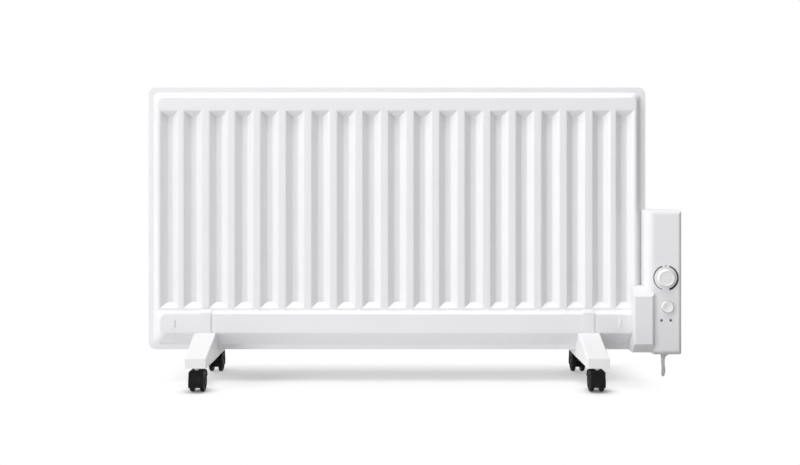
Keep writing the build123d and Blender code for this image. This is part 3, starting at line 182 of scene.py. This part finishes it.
class Nodes:
    """A node tree and short ways to add to it."""

    def __init__(self, tree):
        self.tree = tree

    def add(self, kind, **values):
        """A new node with some of its settings."""
        node = self.tree.nodes.new(kind)
        for key, value in values.items():
            setattr(node, key, value)
        return node

    def link(self, output, socket):
        self.tree.links.new(output, socket)

    def feed(self, value, socket):
        """Give a socket a value or another node's output."""
        if isinstance(value, bpy.types.NodeSocket):
            self.link(value, socket)
        else:
            socket.default_value = value

    def coordinate(self, kind):
        return self.add("ShaderNodeTexCoord").outputs[kind]

    def axes(self, place):
        """The X, Y and Z outputs of a place."""
        split = self.add("ShaderNodeSeparateXYZ")
        self.link(place, split.inputs["Vector"])
        return split.outputs

    def spread(self, value, low, high, from_low=0.3, from_high=0.7, kind="LINEAR"):
        """A value mapped into a range."""
        node = self.add("ShaderNodeMapRange", interpolation_type=kind)
        node.inputs["From Min"].default_value = from_low
        node.inputs["From Max"].default_value = from_high
        node.inputs["To Min"].default_value = low
        node.inputs["To Max"].default_value = high
        self.link(value, node.inputs["Value"])
        return node.outputs["Result"]

    def math(self, operation, *values):
        """An operation on values, each a number or an output."""
        node = self.add("ShaderNodeMath", operation=operation)
        for value, socket in zip(values, node.inputs):
            self.feed(value, socket)
        return node.outputs["Value"]

    def length(self, first, second):
        """The length of a line with two parts at right angles."""
        squares = [self.math("MULTIPLY", value, value) for value in (first, second)]
        return self.math("SQRT", self.math("ADD", *squares))

    def distance(self, place, point):
        """How far a place is from a fixed point."""
        node = self.add("ShaderNodeVectorMath", operation="DISTANCE")
        self.link(place, node.inputs[0])
        node.inputs[1].default_value = point
        return node.outputs["Value"]

    def seen_rays(self):
        """1 for the rays that show a surface itself: to the camera, in a reflection or through glass."""
        paths = self.add("ShaderNodeLightPath").outputs
        seen = self.math("MAXIMUM", paths["Is Camera Ray"], paths["Is Glossy Ray"])
        return self.math("MAXIMUM", seen, paths["Is Transmission Ray"])


class Shader(Nodes):
    """A node material on a Principled shader, built up a layer at a time."""

    def __init__(self, name):
        self.material = bpy.data.materials.new(name)
        self.material.use_nodes = True
        super().__init__(self.material.node_tree)
        self.bsdf = self.tree.nodes["Principled BSDF"]
        self.place = self.coordinate("Object")
        self.height = None

    def noise(self, scale, detail=3.0, stretch=(1, 1, 1), rough=0.5):
        """Noise over the object, in cycles per metre."""
        mapping = self.add("ShaderNodeMapping")
        mapping.inputs["Scale"].default_value = stretch
        self.link(self.place, mapping.inputs["Vector"])
        noise = self.add("ShaderNodeTexNoise")
        noise.inputs["Scale"].default_value = scale
        noise.inputs["Detail"].default_value = detail
        noise.inputs["Roughness"].default_value = rough
        self.link(mapping.outputs["Vector"], noise.inputs["Vector"])
        return noise.outputs["Fac"]

    def within(self, value, limit, blur):
        """1 where a value is under a limit, with a soft edge."""
        over = self.math("SUBTRACT", value, limit)
        return self.spread(over, 1.0, 0.0, -blur, blur)

    def mix(self, amount, first, second):
        """Two colours or colour outputs mixed by a value."""
        node = self.add("ShaderNodeMix", data_type="RGBA")
        self.link(amount, node.inputs["Factor"])
        for value, socket in ((first, node.inputs[6]), (second, node.inputs[7])):
            is_output = isinstance(value, bpy.types.NodeSocket)
            self.feed(value if is_output else (*value, 1.0), socket)
        return node.outputs[2]

    def paint(self, colour):
        """Make an output the base colour."""
        self.link(colour, self.bsdf.inputs["Base Color"])

    def tones(self, first, second, value, from_low=0.3, from_high=0.7):
        """A base colour that varies between two tones."""
        mixed = self.mix(self.spread(value, 0.0, 1.0, from_low, from_high), first, second)
        self.paint(mixed)
        return mixed

    def rough(self, value, low, high):
        self.link(self.spread(value, low, high), self.bsdf.inputs["Roughness"])

    def bump(self, value, depth):
        """Relief of a depth in metres, on top of earlier relief."""
        node = self.add("ShaderNodeBump")
        node.inputs["Strength"].default_value = 1.0
        node.inputs["Distance"].default_value = depth
        self.link(value, node.inputs["Height"])
        if self.height is not None:
            self.link(self.height, node.inputs["Normal"])
        self.height = node.outputs["Normal"]
        self.link(self.height, self.bsdf.inputs["Normal"])

    def set(self, **values):
        """Set the shader's own sockets, named with _ for each space."""
        for key, value in values.items():
            self.bsdf.inputs[key.replace("_", " ")].default_value = value


def grey(level, blue=0.0):
    """A grey, with a touch of blue."""
    return (level, level, level + blue)


def enamel(name, tone, worn):
    """Stoved enamel on pressed steel: orange peel and faint unevenness of tone."""
    s = Shader(name)
    s.tones(tone, worn, s.noise(scale=6.0, detail=2.0))
    s.rough(s.noise(scale=35.0), low=0.30, high=0.40)
    s.bump(s.noise(scale=420.0, detail=2.0), depth=0.00004)
    s.bump(s.noise(scale=9.0, detail=1.0), depth=0.0004)
    s.set(Coat_Weight=0.15, Coat_Roughness=0.25)
    return s.material


def plastic(name, tone, shade, rough=(0.42, 0.52), grain=1500.0, depth=0.00003):
    """The shader of moulded plastic, with a fine eroded grain and slight flow marks, and its colour."""
    s = Shader(name)
    colour = s.tones(tone, shade, s.noise(scale=14.0, detail=4.0, stretch=(1, 1, 0.35)))
    s.rough(s.noise(scale=60.0), *rough)
    s.bump(s.noise(scale=grain, detail=2.0), depth)
    s.set(Specular_IOR_Level=0.25)
    return s, colour


def moulded(name, *tones, **finish):
    """Plain moulded plastic."""
    return plastic(name, *tones, **finish)[0].material


# The dial's plain scale: its middle, ring, ends, half widths, dot and inks, and the face that bears it
DIAL_X = 0.48815
DIAL_Z = 0.2063
SCALE_R = 0.0232
SCALE_START = math.radians(-163)
SCALE_END = math.radians(163)
SCALE_GAP = math.radians(16.5)
SCALE_THIN = 0.0008
SCALE_THICK = 0.0020
SCALE_DOT_R = 0.0014
SCALE_PALE = 0.13
SCALE_DARK = 0.005
PRINT_BLUR = 0.00008
PRINT_FRONT = -0.036


def printed(name, *tones):
    """Moulded plastic with the scale printed on its front, from thin and pale to thick and dark."""
    s, colour = plastic(name, *tones)
    axes = s.axes(s.place)
    across = s.math("SUBTRACT", axes["X"], DIAL_X)
    up = s.math("SUBTRACT", axes["Z"], DIAL_Z)
    angle = s.math("ARCTAN2", across, up)
    half_width = s.spread(angle, SCALE_THIN, SCALE_THICK, SCALE_START, SCALE_END)
    off_ring = s.math("ABSOLUTE", s.math("SUBTRACT", s.length(across, up), SCALE_R))
    ring = s.within(off_ring, half_width, PRINT_BLUR)
    turn = s.math("ABSOLUTE", angle)
    ring = s.math("MULTIPLY", ring, s.math("GREATER_THAN", turn, SCALE_GAP))
    ring = s.math("MULTIPLY", ring, s.math("LESS_THAN", turn, SCALE_END))
    from_dot = s.length(across, s.math("SUBTRACT", up, SCALE_R))
    mark = s.math("MAXIMUM", ring, s.within(from_dot, SCALE_DOT_R, PRINT_BLUR))
    mark = s.math("MULTIPLY", mark, s.math("LESS_THAN", axes["Y"], PRINT_FRONT))
    ink_level = s.spread(angle, 0.0, 1.0, SCALE_START, SCALE_END)
    ink = s.mix(ink_level, grey(SCALE_PALE), grey(SCALE_DARK))
    s.paint(s.mix(mark, colour, ink))
    return s.material


def nylon(name, tone, scuff, rough=(0.42, 0.62)):
    """Black nylon with pale scuffs."""
    s = Shader(name)
    s.tones(tone, scuff, s.noise(scale=90.0, detail=6.0, rough=0.65), from_low=0.52, from_high=0.82)
    s.rough(s.noise(scale=130.0), *rough)
    s.bump(s.noise(scale=900.0, detail=2.0), depth=0.00004)
    s.set(Specular_IOR_Level=0.1)
    return s.material


def metal(name, tone, stain, rough=(0.28, 0.45)):
    """Plated or turned metal with fine tooling marks and a little tarnish."""
    s = Shader(name)
    s.set(Metallic=1.0)
    s.tones(tone, stain, s.noise(scale=70.0, detail=5.0), from_low=0.4, from_high=0.75)
    s.rough(s.noise(scale=240.0), *rough)
    s.bump(s.noise(scale=900.0, detail=2.0), depth=0.00003)
    return s.material


def sheath(name, tone, shade):
    """Soft extruded cable sheath, a little dusty."""
    s = Shader(name)
    s.tones(tone, shade, s.noise(scale=45.0, detail=4.0))
    s.rough(s.noise(scale=150.0), low=0.45, high=0.6)
    s.bump(s.noise(scale=700.0, detail=2.0), depth=0.00004)
    return s.material


def lens(name, tone, shade):
    """Smoked pilot lens."""
    s = Shader(name)
    s.tones(tone, shade, s.noise(scale=260.0, detail=2.0))
    s.rough(s.noise(scale=300.0, detail=2.0), low=0.1, high=0.2)
    return s.material


COVER_TONES = ((0.785, 0.785, 0.798), (0.770, 0.770, 0.782))
KNOB_FINISH = {"rough": (0.25, 0.34), "grain": 1800.0, "depth": 0.00001}

slot_materials = {
    "panel_white": enamel("panel_enamel", grey(0.780, 0.017), grey(0.765, 0.015)),
    "cover_white": moulded("cover_plastic", *COVER_TONES),
    "knob_white": moulded("knob_plastic", grey(0.80), grey(0.78), **KNOB_FINISH),
    "foot_white": moulded("foot_plastic", grey(0.77, 0.005), grey(0.75, 0.005)),
    "castor_black": nylon("castor_nylon", grey(0.008), grey(0.024)),
    "wheel_black": nylon("wheel_nylon", grey(0.008), grey(0.03, -0.001)),
    "strap_white": enamel("strap_enamel", grey(0.770, 0.015), grey(0.755, 0.015)),
    "zinc_steel": metal("zinc_plate", grey(0.60, 0.02), grey(0.48, -0.01)),
    "socket_nylon": moulded("natural_nylon", (0.66, 0.65, 0.61), (0.60, 0.59, 0.55)),
    "element_steel": metal("element_sheath", (0.36, 0.34, 0.32), (0.22, 0.20, 0.18), (0.4, 0.6)),
    "brass": metal("turned_brass", (0.70, 0.50, 0.22), (0.50, 0.34, 0.15)),
    "pin_nickel": metal("nickel_plate", (0.68, 0.66, 0.61), (0.55, 0.52, 0.46), (0.18, 0.3)),
    "seal_rubber": nylon("seal_rubber", grey(0.02), grey(0.05), (0.6, 0.8)),
    "phenolic_dark": moulded("phenolic", (0.035, 0.027, 0.022), (0.05, 0.04, 0.03)),
    "lamp_lens": lens("lamp_lens", grey(0.09), grey(0.13)),
    "wire_insulation": sheath("wire_sheath", (0.30, 0.14, 0.05), (0.24, 0.11, 0.04)),
    "cord_grey": sheath("cord_sheath", grey(0.86), grey(0.82)),
    "plug_grey": moulded("plug_plastic", grey(0.76), grey(0.72)),
    "tie_black": nylon("tie_nylon", grey(0.02), grey(0.05)),
}


def dress(obj, material):
    """Give an object one material."""
    obj.data.materials.clear()
    obj.data.materials.append(material)


for entry in frame["record"]["subparts"]:
    dress(nodes[entry["node"]], slot_materials[entry["material_slot"]])
dress(nodes["control_cover"], printed("printed_cover_plastic", *COVER_TONES))
dress(cord, slot_materials["cord_grey"])


# Floor, surround and lamps
FLOOR_HALF = 30.0
FLOOR_GREY = 0.85
FLOOR_GLOW = 0.31
# The strip of floor that keeps its shade: axis, middle, and where the glow starts to rise and is full
FLOOR_SHADE = (("X", -0.01, 0.36, 0.50), ("Y", 0.045, 0.02, 0.16))
# The shade under each front castor: its least glow, and how far out the glow starts to rise and is full
SPOT_GLOW = 0.1
SPOT_RISE = (0.012, 0.055)
SPOT_JOINTS = "roll_a_front"
# A dark flag, unseen, on the floor at the right: each edge's axis, and where it starts and is full
FLOOR_FLAG = (("X", 0.38, 0.48), ("X", 2.6, 2.0), ("Y", -0.18, -0.08))
FLAG_GREY = 0.02
# The hole in the flag round the lead's outlet: where the flag starts and is full
FLAG_HOLE = (0.035, 0.07)


def floor_material():
    """A pale floor with a flag on it. Seen, it has no flag, and glows white all round the heater's shade."""
    material = bpy.data.materials.new("floor")
    material.use_nodes = True
    material.node_tree.nodes.clear()
    n = Nodes(material.node_tree)
    place = n.coordinate("Object")
    axes = n.axes(place)

    def rise(away, near, far, least):
        return n.spread(away, least, 1.0, near, far, kind="SMOOTHSTEP")

    shares = []
    for axis, middle, near, far in FLOOR_SHADE:
        away = n.math("ABSOLUTE", n.math("SUBTRACT", axes[axis], middle))
        shares.append(rise(away, near, far, FLOOR_GLOW))
    share = n.math("MAXIMUM", *shares)
    for joint in frame["record"]["behaviour"]["joints"]:
        if joint["name"].startswith(SPOT_JOINTS):
            away = n.distance(place, (*joint["pos_m"][:2], 0))
            share = n.math("MINIMUM", share, rise(away, *SPOT_RISE, SPOT_GLOW))
    seen = n.seen_rays()
    flagged = n.math("SUBTRACT", 1.0, seen)
    for axis, start, full in FLOOR_FLAG:
        edge = n.spread(axes[axis], 0.0, 1.0, start, full)
        flagged = n.math("MULTIPLY", flagged, edge)
    hole = rise(n.distance(place, OUTLET), *FLAG_HOLE, 0.0)
    flagged = n.math("MULTIPLY", flagged, hole)
    diffuse = n.add("ShaderNodeBsdfDiffuse")
    n.link(n.math("MULTIPLY_ADD", flagged, FLAG_GREY - FLOOR_GREY, FLOOR_GREY), diffuse.inputs["Color"])
    glow = n.add("ShaderNodeEmission")
    mix = n.add("ShaderNodeMixShader")
    n.link(n.math("MULTIPLY", share, seen), mix.inputs["Fac"])
    n.link(diffuse.outputs["BSDF"], mix.inputs[1])
    n.link(glow.outputs["Emission"], mix.inputs[2])
    out = n.add("ShaderNodeOutputMaterial")
    n.link(mix.outputs["Shader"], out.inputs["Surface"])
    return material


floor_corners = [(x * FLOOR_HALF, y * FLOOR_HALF, 0) for x, y in ((-1, -1), (1, -1), (1, 1), (-1, 1))]
floor_mesh = bpy.data.meshes.new("floor")
floor_mesh.from_pydata(floor_corners, [], [(0, 1, 2, 3)])
floor = bpy.data.objects.new("floor", floor_mesh)
scene.collection.objects.link(floor)
dress(floor, floor_material())

# The surround's strength in the middle, how much more it has at the left than there, and what the back adds
AMBIENT = 0.42
AMBIENT_SIDE = 0.42
AMBIENT_BACK = 0.12


def studio_world():
    """A plain white surround, brighter to the left and behind, and white itself wherever it is seen."""
    world = bpy.data.worlds.new("studio")
    world.use_nodes = True
    n = Nodes(world.node_tree)
    background = world.node_tree.nodes["Background"]
    background.inputs["Color"].default_value = (1, 1, 1, 1)
    axes = n.axes(n.coordinate("Generated"))
    sides = n.spread(axes["X"], AMBIENT + AMBIENT_SIDE, AMBIENT - AMBIENT_SIDE, -1.0, 1.0)
    behind = n.spread(axes["Y"], 0.0, AMBIENT_BACK, 0.0, 1.0)
    bright = n.add("ShaderNodeMix")
    n.link(n.seen_rays(), bright.inputs["Factor"])
    n.link(n.math("ADD", sides, behind), bright.inputs["A"])
    bright.inputs["B"].default_value = 1.0
    n.link(bright.outputs["Result"], background.inputs["Strength"])
    return world


scene.world = studio_world()


def softbox(name, place, aim, size, power):
    """A square area lamp turned towards a point."""
    data = bpy.data.lights.new(name, "AREA")
    data.shape = "SQUARE"
    data.size = size
    data.energy = power
    lamp = bpy.data.objects.new(name, data)
    lamp.location = place
    lamp.rotation_euler = (Vector(aim) - Vector(place)).to_track_quat("-Z", "Y").to_euler()
    scene.collection.objects.link(lamp)


softbox("key_light", place=(-6.0, -4.0, 3.0), aim=(0, 0, 0.3), size=3.4, power=268)
softbox("top_light", place=(-0.1, -0.75, 2.9), aim=(0, 0, 0), size=1.2, power=43)

view_settings = scene.view_settings
view_settings.view_transform = "Standard"
